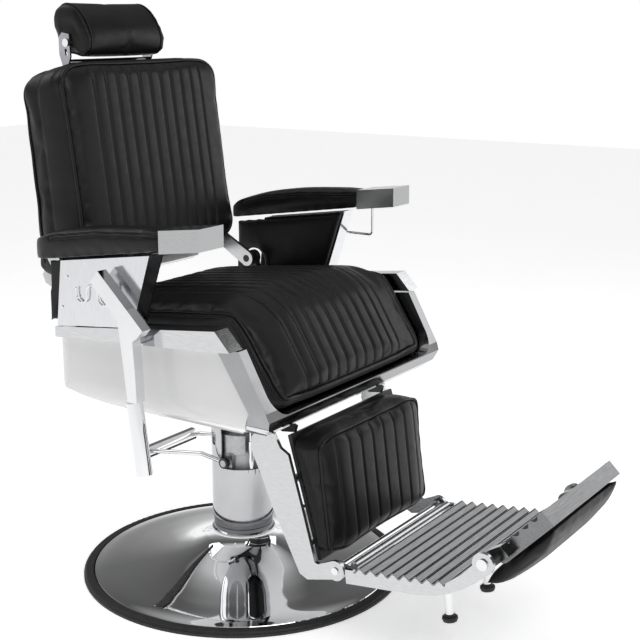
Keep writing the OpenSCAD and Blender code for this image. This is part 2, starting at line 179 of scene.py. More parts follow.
def coords(nt, scale=(1, 1, 1)):
    tc = nt.nodes.new("ShaderNodeTexCoord")
    mp = nt.nodes.new("ShaderNodeMapping")
    mp.inputs["Scale"].default_value = scale
    nt.links.new(tc.outputs["Object"], mp.inputs["Vector"])
    return mp.outputs["Vector"]


def noise(nt, vec, scale, detail=3.0, rough=0.5):
    n = nt.nodes.new("ShaderNodeTexNoise")
    n.inputs["Scale"].default_value = scale
    n.inputs["Detail"].default_value = detail
    n.inputs["Roughness"].default_value = rough
    nt.links.new(vec, n.inputs["Vector"])
    return n.outputs["Fac"]


def ramp(nt, fac, c0, c1, p0=0.3, p1=0.7):
    r = nt.nodes.new("ShaderNodeValToRGB")
    r.color_ramp.elements[0].position = p0
    r.color_ramp.elements[1].position = p1
    r.color_ramp.elements[0].color = (*c0, 1)
    r.color_ramp.elements[1].color = (*c1, 1)
    nt.links.new(fac, r.inputs["Fac"])
    return r.outputs["Color"]


def span(nt, fac, a, b):
    m = nt.nodes.new("ShaderNodeMapRange")
    m.inputs["From Min"].default_value = 0.3
    m.inputs["From Max"].default_value = 0.7
    m.inputs["To Min"].default_value = a
    m.inputs["To Max"].default_value = b
    nt.links.new(fac, m.inputs["Value"])
    return m.outputs["Result"]


def bump(nt, height, strength, distance, normal=None):
    b = nt.nodes.new("ShaderNodeBump")
    b.inputs["Strength"].default_value = strength
    b.inputs["Distance"].default_value = distance
    nt.links.new(height, b.inputs["Height"])
    if normal is not None:
        nt.links.new(normal, b.inputs["Normal"])
    return b.outputs["Normal"]


def grey(v):
    return (v, v, v * 1.02)


def leather(name="leather", dark=0.0042, light=0.0075, r0=0.36, r1=0.47):
    m, nt, b = new_mat(name)
    v = coords(nt)
    big = noise(nt, v, 14, 3)
    nt.links.new(ramp(nt, big, grey(dark), grey(light)), b.inputs["Base Color"])
    nt.links.new(span(nt, noise(nt, v, 60, 4), r0, r1), b.inputs["Roughness"])
    cell = nt.nodes.new("ShaderNodeTexVoronoi")
    cell.feature = "DISTANCE_TO_EDGE"
    cell.inputs["Scale"].default_value = 780
    cell.inputs["Randomness"].default_value = 1.0
    nt.links.new(v, cell.inputs["Vector"])
    n1 = bump(nt, cell.outputs["Distance"], 0.22, 0.00035)
    n2 = bump(nt, noise(nt, v, 300, 4), 0.12, 0.0004, n1)
    n3 = bump(nt, noise(nt, v, 32, 3), 0.16, 0.0022, n2)
    nt.links.new(n3, b.inputs["Normal"])
    b.inputs["Specular IOR Level"].default_value = 0.30
    return m


def metal(name, c0, c1, r0, r1, scale=(1, 1, 1), nscale=30, bump_s=0.02, bump_d=0.0002, bscale=60, metallic=1.0, coat=0.0):
    m, nt, b = new_mat(name)
    v = coords(nt, scale)
    f = noise(nt, v, nscale, 4, 0.6)
    nt.links.new(ramp(nt, f, c0, c1), b.inputs["Base Color"])
    nt.links.new(span(nt, noise(nt, v, nscale * 2.3, 5, 0.65), r0, r1), b.inputs["Roughness"])
    nt.links.new(bump(nt, noise(nt, v, bscale, 3), bump_s, bump_d), b.inputs["Normal"])
    b.inputs["Metallic"].default_value = metallic
    if coat:
        b.inputs["Coat Weight"].default_value = coat
        b.inputs["Coat Roughness"].default_value = 0.05
    return m


MAT = {
    "leather": leather(),
    "leather_piping": leather("leather_piping", 0.005, 0.009, 0.28, 0.38),
    "leather_satin": leather("leather_satin", 0.010, 0.018, 0.40, 0.50),
    "chrome": metal("chrome", (0.78, 0.785, 0.80), (0.86, 0.865, 0.875), 0.015, 0.05, nscale=8, bump_s=0.015, bscale=9, bump_d=0.0015),
    "chrome_dark": metal("chrome_dark", (0.30, 0.30, 0.32), (0.42, 0.42, 0.44), 0.05, 0.12, nscale=12, bump_s=0.02),
    "satin_steel": metal("satin_steel", (0.56, 0.57, 0.58), (0.66, 0.67, 0.68), 0.17, 0.27, scale=(1, 1, 14), nscale=60, bump_s=0.05, bscale=220),
    "satin_cap": metal("satin_cap", (0.44, 0.445, 0.45), (0.54, 0.545, 0.55), 0.14, 0.22, scale=(14, 1, 14), nscale=60, bump_s=0.04, bscale=220),
    "rail_steel": metal("rail_steel", (0.60, 0.61, 0.62), (0.70, 0.705, 0.715), 0.10, 0.17, scale=(1, 1, 10), nscale=40, bump_s=0.03, bscale=160),
    "band_chrome": metal("band_chrome", (0.32, 0.322, 0.33), (0.40, 0.402, 0.41), 0.05, 0.11, nscale=8, bump_s=0.015, bscale=9, bump_d=0.0015),
    "shroud_chrome": metal("shroud_chrome", (0.48, 0.482, 0.49), (0.56, 0.562, 0.57), 0.03, 0.08, nscale=8, bump_s=0.015, bscale=9, bump_d=0.0015),
    "ribbed_metal": metal("ribbed_metal", (0.17, 0.172, 0.176), (0.26, 0.262, 0.267), 0.15, 0.24, scale=(0.6, 12, 12), nscale=50, bump_s=0.06, bscale=180),
    "black_steel": metal("black_steel", (0.012, 0.012, 0.013), (0.022, 0.022, 0.024), 0.26, 0.40, nscale=90, bump_s=0.08, bscale=900, metallic=0.0),
    "rubber": metal("rubber", (0.012, 0.012, 0.012), (0.02, 0.02, 0.021), 0.5, 0.66, nscale=70, bump_s=0.12, bscale=700, metallic=0.0),
    "white_shell": metal("white_shell", (0.78, 0.78, 0.785), (0.82, 0.82, 0.825), 0.10, 0.17, nscale=6, bump_s=0.03, bscale=7, bump_d=0.002, metallic=0.0, coat=0.35),
    "pump_paint": metal("pump_paint", (0.80, 0.80, 0.81), (0.87, 0.87, 0.88), 0.22, 0.34, nscale=30, bump_s=0.05, bscale=260, metallic=0.0, coat=0.2),
    "cast_pump": metal("cast_pump", (0.42, 0.43, 0.44), (0.58, 0.59, 0.60), 0.34, 0.5, nscale=120, bump_s=0.22, bscale=600, bump_d=0.0004),
    "bearing_steel": metal("bearing_steel", (0.5, 0.5, 0.52), (0.6, 0.6, 0.62), 0.2, 0.3, nscale=80, bump_s=0.05, bscale=300),
    "brushed_plate": metal("brushed_plate", (0.70, 0.71, 0.73), (0.80, 0.81, 0.83), 0.10, 0.18, scale=(1, 10, 1), nscale=50, bump_s=0.015, bscale=120),
}


def plywood():
    m, nt, b = new_mat("plywood")
    v = coords(nt, (1, 1, 6))
    nt.links.new(ramp(nt, noise(nt, v, 22, 6, 0.7), (0.24, 0.14, 0.07), (0.42, 0.27, 0.15)), b.inputs["Base Color"])
    nt.links.new(span(nt, noise(nt, v, 60, 4), 0.55, 0.7), b.inputs["Roughness"])
    nt.links.new(bump(nt, noise(nt, v, 120, 5), 0.2, 0.0006), b.inputs["Normal"])
    return m


MAT["plywood"] = plywood()


def thread_mat():
    m, nt, b = new_mat("thread")
    v = coords(nt)
    nt.links.new(ramp(nt, noise(nt, v, 900, 2), (0.014, 0.014, 0.015), (0.04, 0.04, 0.042)), b.inputs["Base Color"])
    nt.links.new(span(nt, noise(nt, v, 500, 2), 0.5, 0.7), b.inputs["Roughness"])
    nt.links.new(bump(nt, noise(nt, v, 1800, 2), 0.4, 0.0002), b.inputs["Normal"])
    return m


MAT["thread"] = thread_mat()

LOOK = {
    "base_rubber_ring": "rubber", "base_plate": "chrome", "base_collar": "chrome_dark", "thrust_bearing": "bearing_steel",
    "pump_cylinder": "pump_paint", "column_shroud": "shroud_chrome", "pump_head": "cast_pump", "pump_plunger": "chrome",
    "lever_shaft": "black_steel", "lever_fork": "chrome", "pedal_bar": "chrome", "pedal_core": "rubber",
    "piston_rod": "chrome", "seat_mount_plate": "black_steel", "slide_channels": "black_steel", "seat_board": "leather",
    "skirt_shell": "white_shell", "side_rail_left": "rail_steel", "side_rail_right": "rail_steel", "front_band": "band_chrome",
    "arm_plates": "brushed_plate", "arm_cores": "leather", "arm_cap_left": "satin_cap", "arm_cap_right": "satin_cap",
    "towel_bar": "chrome", "towel_hook": "chrome", "arm_screws": "chrome", "hinge_posts": "black_steel",
    "gas_strut_tube": "black_steel", "gas_strut_rod": "chrome", "back_hinge_arms": "satin_steel",
    "back_lower_cover": "white_shell", "head_sockets": "chrome_dark", "headrest_posts": "chrome_dark", "headrest_pins": "chrome",
    "leg_slide_bars": "black_steel", "leg_frame_left": "satin_steel", "leg_frame_right": "satin_steel",
    "leg_cross_tubes": "chrome", "leg_board": "black_steel", "foot_deck": "ribbed_metal", "foot_rails": "satin_steel",
    "foot_lugs": "satin_steel", "foot_studs": "chrome", "rubber_feet": "rubber", "kick_pins": "chrome",
    "kick_frame": "ribbed_metal", "recline_lever": "chrome", "recline_grip": "chrome", "lever_bushes": "chrome_dark",
}
for name, look in LOOK.items():
    o = nodes[name]
    if len(o.material_slots) == 0:
        o.data.materials.append(MAT[look])
    for s in o.material_slots:
        s.material = MAT[look]


# ------------------------------------------------------------------ mesh helpers
def link(o):
    scene.collection.objects.link(o)
    return o


def put_co(me, co):
    me.vertices.foreach_set("co", np.ascontiguousarray(co, np.float32).ravel())
    me.update()


def get_co(me):
    a = np.empty(len(me.vertices) * 3, np.float32)
    me.vertices.foreach_get("co", a)
    return a.reshape(-1, 3).astype(float)


def get_nrm(me):
    a = np.empty(len(me.vertices) * 3, np.float32)
    me.vertex_normals.foreach_get("vector", a)
    return a.reshape(-1, 3).astype(float)


def evaluated(o, name):
    dg = bpy.context.evaluated_depsgraph_get()
    me = bpy.data.meshes.new_from_object(o.evaluated_get(dg), preserve_all_data_layers=False, depsgraph=dg)
    me.name = name
    return me


def smooth(me):
    me.polygons.foreach_set("use_smooth", np.ones(len(me.polygons), bool))


def sstep(x, a, b):
    t = np.clip((x - a) / (b - a), 0, 1)
    return t * t * (3 - 2 * t)


def lap(me, co, rounds, mask=None):
    """Evens out the voxel steps along the edges."""
    e = np.empty(len(me.edges) * 2, np.int32)
    me.edges.foreach_get("vertices", e)
    e = e.reshape(-1, 2)
    n = np.bincount(e.ravel(), minlength=len(co)).astype(float)[:, None]
    for _ in range(rounds):
        acc = np.zeros_like(co)
        for k in range(3):
            acc[:, k] = np.bincount(e[:, 0], co[e[:, 1], k], len(co)) + np.bincount(e[:, 1], co[e[:, 0], k], len(co))
        new = acc / n
        w = 0.5 if mask is None else 0.5 * mask[:, None]
        co = co + (new - co) * w
    return co


def start_shape(node, name, voxel, shape=None, inset=0.0, rounds=6):
    """A voxel-remeshed copy of a soft CAD solid, shaped, smoothed and set in a little."""
    src = nodes[node]
    me = src.data.copy()
    me.transform(src.matrix_world)
    me.materials.clear()
    o = link(bpy.data.objects.new(name + "_src", me))
    r = o.modifiers.new("Remesh", "REMESH")
    r.mode = "VOXEL"
    r.voxel_size = voxel
    bpy.context.view_layer.update()
    out = evaluated(o, name)
    bpy.data.objects.remove(o)
    co = get_co(out)
    if shape:
        co = shape(co)
    co = lap(out, co, rounds)
    put_co(out, co)
    if inset:
        co = co - get_nrm(out) * inset
        put_co(out, co)
    smooth(out)
    return link(bpy.data.objects.new(name, out))


def puff(o, cap, pressure=4.0, rest=None, frames=20, stiff=8.0):
    """Cloth with pressure swells the pad; the move is capped, and held back where rest says it lies on something."""
    rest_co = get_co(o.data)
    if not QUICK:
        c = o.modifiers.new("Cloth", "CLOTH")
        s = c.settings
        s.quality = 4
        s.mass = 0.3
        s.tension_stiffness = stiff
        s.compression_stiffness = stiff
        s.shear_stiffness = stiff * 0.5
        s.bending_stiffness = 1.2
        s.use_pressure = True
        s.uniform_pressure_force = pressure
        s.effector_weights.gravity = 0
        c.collision_settings.use_collision = False
        c.collision_settings.use_self_collision = False
        c.point_cache.frame_start = 1
        c.point_cache.frame_end = frames
        for f in range(1, frames + 1):
            scene.frame_set(f)
        me = evaluated(o, o.name + "_sim")
        co = get_co(me)
        bpy.data.meshes.remove(me)
        o.modifiers.remove(c)
        scene.frame_set(1)
    else:
        co = rest_co + get_nrm(o.data) * cap * 0.45
    d = co - rest_co
    ln = np.linalg.norm(d, axis=1, keepdims=True)
    lim = cap * np.ones_like(ln)
    if rest is not None:
        lim = lim * (1 - rest(rest_co, get_nrm(o.data)))[:, None]
    soft = lim * np.tanh(ln / np.maximum(lim, 1e-9))
    d = d / np.maximum(ln, 1e-12) * np.where(lim > 1e-7, soft, 0)
    co = rest_co + d
    put_co(o.data, co)
    put_co(o.data, lap(o.data, co, 2))
    sub = o.modifiers.new("Sub", "SUBSURF")
    sub.levels = sub.render_levels = 1
    bpy.context.view_layer.update()
    me = evaluated(o, o.name)
    old = o.data
    o.modifiers.clear()
    o.data = me
    bpy.data.meshes.remove(old)
    smooth(o.data)
    return o


def finish_soft(o, node, body, mat="leather", fill=0.8):
    o.data.materials.clear()
    o.data.materials.append(MAT[mat])
    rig.replaces(o, node)
    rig.ride(o, body)
    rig.slot(o, "leather")
    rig.padded(o, fill)
    return o


def bvh(o):
    return BVHTree.FromPolygons([v.co[:] for v in o.data.vertices], [p.vertices[:] for p in o.data.polygons])


def resample(pts, step, closed=True):
    p = np.array(pts, float)
    if closed:
        p = np.vstack([p, p[:1]])
    seg = np.linalg.norm(np.diff(p, axis=0), axis=1)
    s = np.concatenate([[0], np.cumsum(seg)])
    n = max(4, int(round(s[-1] / step)))
    t = np.linspace(0, s[-1], n + 1)
    q = np.stack([np.interp(t, s, p[:, k]) for k in range(3)], 1)
    return q[:-1] if closed else q


def snap(tree, pts, lift=0.0, rounds=3, closed=True):
    """Puts a path onto a surface, then evens it out."""
    out, nn = [], []
    for p in pts:
        loc, nrm, _, _ = tree.find_nearest(Vector(p))
        out.append(np.array(loc) + np.array(nrm) * lift)
        nn.append(np.array(nrm))
    q, n = np.array(out), np.array(nn)
    for _ in range(rounds):
        if closed:
            q = (np.roll(q, 1, 0) + 2 * q + np.roll(q, -1, 0)) / 4
            n = (np.roll(n, 1, 0) + 2 * n + np.roll(n, -1, 0)) / 4
        else:
            q[1:-1] = (q[:-2] + 2 * q[1:-1] + q[2:]) / 4
            n[1:-1] = (n[:-2] + 2 * n[1:-1] + n[2:]) / 4
    n /= np.maximum(np.linalg.norm(n, axis=1, keepdims=True), 1e-9)
    return q, n


def tube(name, pts, r, mat, body, closed=True, sides=10, slot="leather"):
    """A round cord swept along a path, with domed ends if it is open."""
    p = np.array(pts, float)
    n = len(p)
    if closed:
        t = np.roll(p, -1, 0) - np.roll(p, 1, 0)
    else:
        t = np.gradient(p, axis=0)
    t /= np.maximum(np.linalg.norm(t, axis=1, keepdims=True), 1e-12)
    up = np.array([0.0, 0.0, 1.0]) if abs(t[0][2]) < 0.9 else np.array([1.0, 0, 0])
    u = np.cross(t[0], up)
    u /= np.linalg.norm(u)
    us = [u]
    for i in range(1, n):
        u = us[-1] - t[i] * np.dot(us[-1], t[i])
        us.append(u / max(np.linalg.norm(u), 1e-12))
    us = np.array(us)
    if closed:  # spreads the twist left at the join
        last = us[-1] - t[0] * np.dot(us[-1], t[0])
        last /= np.linalg.norm(last)
        ang = math.atan2(np.dot(np.cross(last, us[0]), t[0]), np.dot(last, us[0]))
        for i in range(n):
            a = ang * i / n
            us[i] = us[i] * math.cos(a) + np.cross(t[i], us[i]) * math.sin(a)
    vs = np.cross(t, us)
    rad = np.full(n, r)
    ring = []
    for k in range(sides):
        a = 2 * math.pi * k / sides
        ring.append(p + (us * math.cos(a) + vs * math.sin(a)) * rad[:, None])
    V = np.stack(ring, 1).reshape(-1, 3)
    F = []
    m = n if closed else n - 1
    for i in range(m):
        j = (i + 1) % n
        for k in range(sides):
            k2 = (k + 1) % sides
            F.append((i * sides + k, i * sides + k2, j * sides + k2, j * sides + k))
    V = V.tolist()
    if not closed:
        for end, base, sgn in ((0, 0, -1), (n - 1, (n - 1) * sides, 1)):
            c = len(V)
            V.append((p[end] + t[end] * sgn * r * 0.7).tolist())
            for k in range(sides):
                k2 = (k + 1) % sides
                F.append((base + k2, base + k, c) if sgn < 0 else (base + k, base + k2, c))
    me = bpy.data.meshes.new(name)
    me.from_pydata(V, [], F)
    me.update()
    smooth(me)
    o = link(bpy.data.objects.new(name, me))
    me.materials.append(MAT[mat])
    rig.ride(o, body)
    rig.slot(o, slot)
    return o


def press_along(o, pts, depth, width):
    """Draws the surface in along a sewn line."""
    kd = KDTree(len(pts))
    for i, p in enumerate(pts):
        kd.insert(Vector(p), i)
    kd.balance()
    co, nr = get_co(o.data), get_nrm(o.data)
    d = np.array([kd.find(Vector(c))[2] for c in co])
    co -= nr * (depth * np.exp(-(d / width) ** 2))[:, None]
    put_co(o.data, co)


def stitches(name, rows, body, step=0.0055, ln=0.0036, w=0.0008):
    """Rows of raised thread stitches, each a small pointed capsule lying on the surface."""
    V, F = [], []
    for pts, nr in rows:
        t = np.gradient(pts, axis=0)
        t /= np.maximum(np.linalg.norm(t, axis=1, keepdims=True), 1e-12)
        seg = np.linalg.norm(np.diff(pts, axis=0), axis=1)
        s = np.concatenate([[0], np.cumsum(seg)])
        for d in np.arange(step, s[-1] - step, step):
            c = np.array([np.interp(d, s, pts[:, k]) for k in range(3)])
            tt = np.array([np.interp(d, s, t[:, k]) for k in range(3)])
            nn = np.array([np.interp(d, s, nr[:, k]) for k in range(3)])
            tt /= max(np.linalg.norm(tt), 1e-9)
            nn -= tt * np.dot(nn, tt)
            nn /= max(np.linalg.norm(nn), 1e-9)
            b = np.cross(tt, nn)
            base = len(V)
            for q, f in ((-0.5, 0.35), (-0.3, 1.0), (0.3, 1.0), (0.5, 0.35)):
                lift = 0.0005 if abs(q) < 0.4 else -0.0002
                for k in range(6):
                    a = math.pi * k / 3
                    V.append((c + tt * q * ln + (b * math.cos(a) + nn * math.sin(a)) * w * f + nn * lift).tolist())
            for i in range(3):
                for k in range(6):
                    k2 = (k + 1) % 6
                    F.append((base + i * 6 + k, base + i * 6 + k2, base + (i + 1) * 6 + k2, base + (i + 1) * 6 + k))
            F.append(tuple(base + k for k in reversed(range(6))))
            F.append(tuple(base + 18 + k for k in range(6)))
    me = bpy.data.meshes.new(name)
    me.from_pydata(V, [], F)
    me.update()
    smooth(me)
    o = link(bpy.data.objects.new(name, me))
    me.materials.append(MAT["thread"])
    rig.ride(o, body)
    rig.slot(o, "leather")
    return o


def even(pts, n, closed=False):
    p = np.array(pts, float)
    if closed:
        p = np.vstack([p, p[:1]])
    seg = np.linalg.norm(np.diff(p, axis=0), axis=1)
    s = np.concatenate([[0], np.cumsum(seg)])
    t = np.linspace(0, s[-1], n, endpoint=not closed)
    return np.stack([np.interp(t, s, p[:, k]) for k in range(3)], 1)


def loft(name, A, B, body, bulge, closed, centre, rows=8, thick=0.0016, mat="leather", fill=0.6):
    """A padded band between two paths, crowned outward, with an inner skin so that it is closed."""
    n = len(A)
    t = (np.roll(A, -1, 0) - np.roll(A, 1, 0)) if closed else np.gradient(A, axis=0)
    N = np.cross(t, B - A)
    N /= np.maximum(np.linalg.norm(N, axis=1, keepdims=True), 1e-12)
    out = (A + B) / 2 - np.array(centre)
    N *= np.where(np.sum(N * out, axis=1, keepdims=True) < 0, -1, 1)
    for _ in range(4):
        N2 = (np.roll(N, 1, 0) + N * 2 + np.roll(N, -1, 0)) / 4
        if not closed:
            N2[0], N2[-1] = N[0], N[-1]
        N = N2 / np.maximum(np.linalg.norm(N2, axis=1, keepdims=True), 1e-12)
    grid = []
    for side in (0, 1):
        for k in range(rows + 1):
            f = k / rows
            grid.append(A * (1 - f) + B * f + N * (bulge * math.sin(math.pi * f) - side * thick))
    V = np.concatenate(grid).tolist()
    F = []
    m = n if closed else n - 1
    off = (rows + 1) * n
    for i in range(m):
        j = (i + 1) % n
        for k in range(rows):
            a, b, c, d = k * n + i, k * n + j, (k + 1) * n + j, (k + 1) * n + i
            F.append((a, b, c, d))
            F.append((off + d, off + c, off + b, off + a))
        F.append((i, off + i, off + j, j))
        e = rows * n
        F.append((e + j, off + e + j, off + e + i, e + i))
    if not closed:
        for k in range(rows):
            F.append((k * n, (k + 1) * n, off + (k + 1) * n, off + k * n))
            F.append((off + k * n + n - 1, off + (k + 1) * n + n - 1, (k + 1) * n + n - 1, k * n + n - 1))
    me = bpy.data.meshes.new(name)
    me.from_pydata(V, [], F)
    me.update()
    bm = bmesh.new()
    bm.from_mesh(me)
    bmesh.ops.recalc_face_normals(bm, faces=bm.faces)
    bm.to_mesh(me)
    bm.free()
    smooth(me)
    me.materials.append(MAT[mat])
    o = link(bpy.data.objects.new(name, me))
    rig.ride(o, body)
    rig.slot(o, "leather")
    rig.padded(o, fill)
    rows_at = lambda f: (A * (1 - f) + B * f + N * (bulge * math.sin(math.pi * f) + 0.0002), N)
    return o, rows_at


def seam_rows(o, seams, line, side="yz"):
    """The sewn line of each channel, as a path lying in its valley on the finished pad."""
    t = bvh(o)
    out = []
    for x in seams:
        q = resample(np.array([(x * 1000, y, z) for y, z in line]) * MM, 0.006, False)
        q, n = snap(t, q, 0.0, 2, False)
        q[:, 0] = x
        out.append((q, n))
    return out


def channels(o, seams, mask, depth, width, swell):
    """Sewn channels running across X: a narrow valley at each seam, a soft roll between."""
    co, nr = get_co(o.data), get_nrm(o.data)
    x = co[:, 0]
    s = np.array(seams)
    d = np.min(np.abs(x[:, None] - s[None, :]), axis=1)
    half = (s[1] - s[0]) / 2
    t = np.clip(d / half, 0, 1)
    roll = np.sqrt(1 - (1 - t) ** 2)
    outside = (x < s[0]) | (x > s[-1])
    t2 = np.clip(d / (half * 1.4), 0, 1)
    roll = np.where(outside, np.sqrt(1 - (1 - t2) ** 2), roll)
    mk = mask(co, nr)
    h = (roll - 1) * swell - depth * np.exp(-(d / width) ** 2)
    co += nr * (mk * h)[:, None]
    put_co(o.data, co)


def rrect(hx, z0, z1, r, n=10):
    """Rounded rectangle in X and a second coordinate, counter-clockwise."""
    P = []
    for cx, cz, a0 in ((hx - r, z1 - r, 0), (-hx + r, z1 - r, 90), (-hx + r, z0 + r, 180), (hx - r, z0 + r, 270)):
        for i in range(n + 1):
            a = math.radians(a0 + 90 * i / n)
            P.append((cx + r * math.cos(a), cz + r * math.sin(a)))
    return P


def poly_depth(co, line):
    """Depth below a Y-Z outline that runs along the face, and the inward direction at the nearest point."""
    y, z = co[:, 1], co[:, 2]
    best = np.full(len(co), 1e9)
    ny = np.zeros(len(co))
    nz = np.zeros(len(co))
    for (y0, z0), (y1, z1) in zip(line[:-1], line[1:]):
        dy, dz = y1 - y0, z1 - z0
        L2 = dy * dy + dz * dz
        t = np.clip(((y - y0) * dy + (z - z0) * dz) / L2, 0, 1)
        qy, qz = y0 + t * dy, z0 + t * dz
        d = np.hypot(y - qy, z - qz)
        L = math.sqrt(L2)
        iy, iz = -dz / L, dy / L  # inward, for a line with the pad on its left
        m = d < best
        best = np.where(m, d, best)
        ny = np.where(m, iy, ny)
        nz = np.where(m, iz, nz)
    return best, ny, nz


def dome(line, x0, x1, drop, reach):
    """Lets the outer face fall away towards the two sides, so that the pad is crowned."""
    L = [(a * MM, b * MM) for a, b in line]

    def f(co):
        d, iy, iz = poly_depth(co, L)
        w = sstep(np.abs(co[:, 0]), x0 * MM, x1 * MM) * (1 - sstep(d, 0, reach * MM)) * drop * MM
        co = co.copy()
        co[:, 1] += iy * w
        co[:, 2] += iz * w
        return co
    return f


# ------------------------------------------------------------------ base plate, turned smooth
def hermite(pts, per=8):
    """A smooth curve through the points of a profile."""
    P = np.array(pts, float)
    T = np.gradient(P, axis=0)
    out = []
    for i in range(len(P) - 1):
        for k in range(per):
            t = k / per
            out.append((2 * t**3 - 3 * t**2 + 1) * P[i] + (t**3 - 2 * t**2 + t) * T[i] + (-2 * t**3 + 3 * t**2) * P[i + 1] + (t**3 - t**2) * T[i + 1])
    out.append(P[-1])
    return [tuple(v) for v in out]


def lathe(name, prof, seg=192):
    V, F = [], []
    n = len(prof)
    for i in range(seg):
        a = 2 * math.pi * i / seg
        for r, z in prof:
            V.append((r * MM * math.cos(a), r * MM * math.sin(a), z * MM))
    for i in range(seg):
        j = (i + 1) % seg
        for k in range(n):
            k2 = (k + 1) % n
            F.append((i * n + k, j * n + k, j * n + k2, i * n + k2))
    me = bpy.data.meshes.new(name)
    me.from_pydata(V, [], F)
    me.update()
    bm = bmesh.new()
    bm.from_mesh(me)
    bmesh.ops.recalc_face_normals(bm, faces=bm.faces)
    bm.to_mesh(me)
    bm.free()
    smooth(me)
    me.set_sharp_from_angle(angle=math.radians(32))
    return link(bpy.data.objects.new(name, me))


disc_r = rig.box("base_plate")[1][0] / MM - 0.8
flare = hermite([(disc_r - 2, 11.5), (288, 15.5), (240, 21), (190, 28), (150, 36), (118, 46), (96, 56), (80, 66), (72, 74), (66.5, 84), (66, 90)])
disc = lathe("base_disc", [(disc_r, 5), (disc_r + 0.8, 8)] + flare + [(61, 92), (61, 20.2), (93, 20.2), (93, 8), (240, 8), (disc_r - 12, 4.2), (disc_r - 2, 4.2)])
disc.data.materials.append(MAT["chrome"])
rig.replaces(disc, "base_plate")
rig.ride(disc, "base")
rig.slot(disc, "chrome")

# ------------------------------------------------------------------ seat cushion
def rail_top(y):
    return (580 - 0.11 * (y / MM)) * MM


seat_line = [(190, 560), (190, 582), (176, 597), (-150, 634), (-188, 626), (-214, 600), (-252, 534), (-286, 478), (-292, 468)]
seat = start_shape("seat_cushion", "seat_cushion_leather", 0.005,
                   dome(seat_line, 95, 252, 16, 60), inset=0.003, rounds=8)


def seat_rest(co, nr):
    low = (nr[:, 2] < -0.3) & (nr[:, 1] > -0.5)
    back = (co[:, 1] > 0.150) & (nr[:, 1] > 0.4)
    return np.clip(low * 1.0 + back * 0.6, 0, 1)


puff(seat, 0.011, 4.0, seat_rest)
seat_seams = [(i - 5) * 0.0323 for i in range(11)]


def seat_mask(co, nr):
    up = sstep(nr[:, 2] * 0.8 - nr[:, 1] * 0.75, 0.25, 0.6)
    side = 1 - sstep(np.abs(co[:, 0]), 0.205, 0.225)
    low = sstep(co[:, 2], 0.464, 0.474)
    rear = 1 - sstep(co[:, 1], 0.168, 0.180)
    return up * side * low * rear


channels(seat, seat_seams, seat_mask, 0.0026, 0.0026, 0.0018)
tree = bvh(seat)
zr = lambda y: (580 - 0.11 * y) + 16
half = [(-252, y, zr(y)) for y in (172, 150, 100, 50, 0, -50, -100, -150, -178)]
half += [(-252, -196, 596), (-252, -218, 566), (-251, -239, 534), (-250, -261, 502), (-246, -278, 480), (-236, -287, 468), (-220, -290, 463)]
full = half + [(-x, y, z) for x, y, z in reversed(half)]
full = even(np.array(full) * MM, 300)
p, n = snap(tree, full, 0.0, 4, False)
press_along(seat, p, 0.0020, 0.006)
tube("seat_piping", p + n * 0.0006, 0.0034, "leather_piping", "seat", closed=False)
low = [(-279.5, y, 580 - 0.11 * y - 3) for y in (172, 150, 100, 50, 0, -50, -100, -150)]
low += [(-280, -176, 592), (-280.5, -192, 570), (-280.5, -214, 535), (-280, -236, 500), (-276, -252, 478), (-266, -262, 462), (-248, -267, 452), (-225, -268, 450)]
low = low + [(-x, y, z) for x, y, z in reversed(low)]
low = even(np.array(low) * MM, 300)
low = (np.roll(low, 1, 0) + 2 * low + np.roll(low, -1, 0)) / 4 * np.r_[0, np.ones(298), 0][:, None] + low * np.r_[1, np.zeros(298), 1][:, None]
box_piece, at = loft("seat_boxing", p, low, "seat", 0.0045, False, (0, -0.05, 0.50))
stitches("seat_stitching", [tuple(v[20:280] for v in at(0.30)), tuple(v[20:280] for v in at(0.45))], "seat")
stitches("seat_channel_thread", seam_rows(seat, seat_seams, [(168, 600), (100, 610), (0, 622), (-100, 632), (-150, 636), (-188, 628), (-214, 600), (-252, 534), (-282, 480)]),
         "seat", 0.0050, 0.0040, 0.0007)
finish_soft(seat, "seat_cushion", "seat", fill=0.9)

# ------------------------------------------------------------------ back cushion
back_line = [(264, 1050), (252, 1051), (243, 1047), (236, 1036), (190, 700), (190, 664), (198, 648), (208, 641)]
back = start_shape("back_cushion", "back_cushion_leather", 0.005,
                   dome(back_line, 130, 237, 7, 34), inset=0.0, rounds=4)


def back_rest(co, nr):
    return np.clip(sstep(nr[:, 1] * 0.99, 0.2, 0.6), 0, 1)


puff(back, 0.010, 4.0, back_rest)


def back_mask(co, nr):
    up = sstep(-nr[:, 1], 0.45, 0.75)
    side = 1 - sstep(np.abs(co[:, 0]), 0.195, 0.212)
    return up * side * sstep(co[:, 2], 0.650, 0.660) * (1 - sstep(co[:, 2], 1.034, 1.042))


channels(back, seat_seams, back_mask, 0.0026, 0.0026, 0.0018)
tree = bvh(back)
loop = [(x, 190 + (z - 700) * 0.1345 + 9, z) for x, z in rrect(236, 645, 1047, 48, 24)]
loop = even(np.array(loop) * MM, 320, True)
back_pipe, n = snap(tree, loop, 0.0, 4)
press_along(back, back_pipe, 0.0020, 0.006)
tube("back_piping", back_pipe + n * 0.0006, 0.0034, "leather_piping", "back")
stitches("back_channel_thread", seam_rows(back, seat_seams, [(180, 660), (186, 700), (228, 1010), (236, 1034)]), "back", 0.0050, 0.0040, 0.0007)
finish_soft(back, "back_cushion", "back", fill=0.85)

# ------------------------------------------------------------------ back shell
shell = start_shape("back_shell", "back_shell_leather", 0.0055, None, inset=0.002, rounds=8)


def shell_rest(co, nr):
    face = sstep(-nr[:, 1], 0.3, 0.7)
    bore = ((np.hypot(np.abs(co[:, 0]) - 0.060, 0) < 0.028) & (co[:, 2] > 0.88)) * 1.0
    return np.clip(face + bore * 0.9, 0, 1)


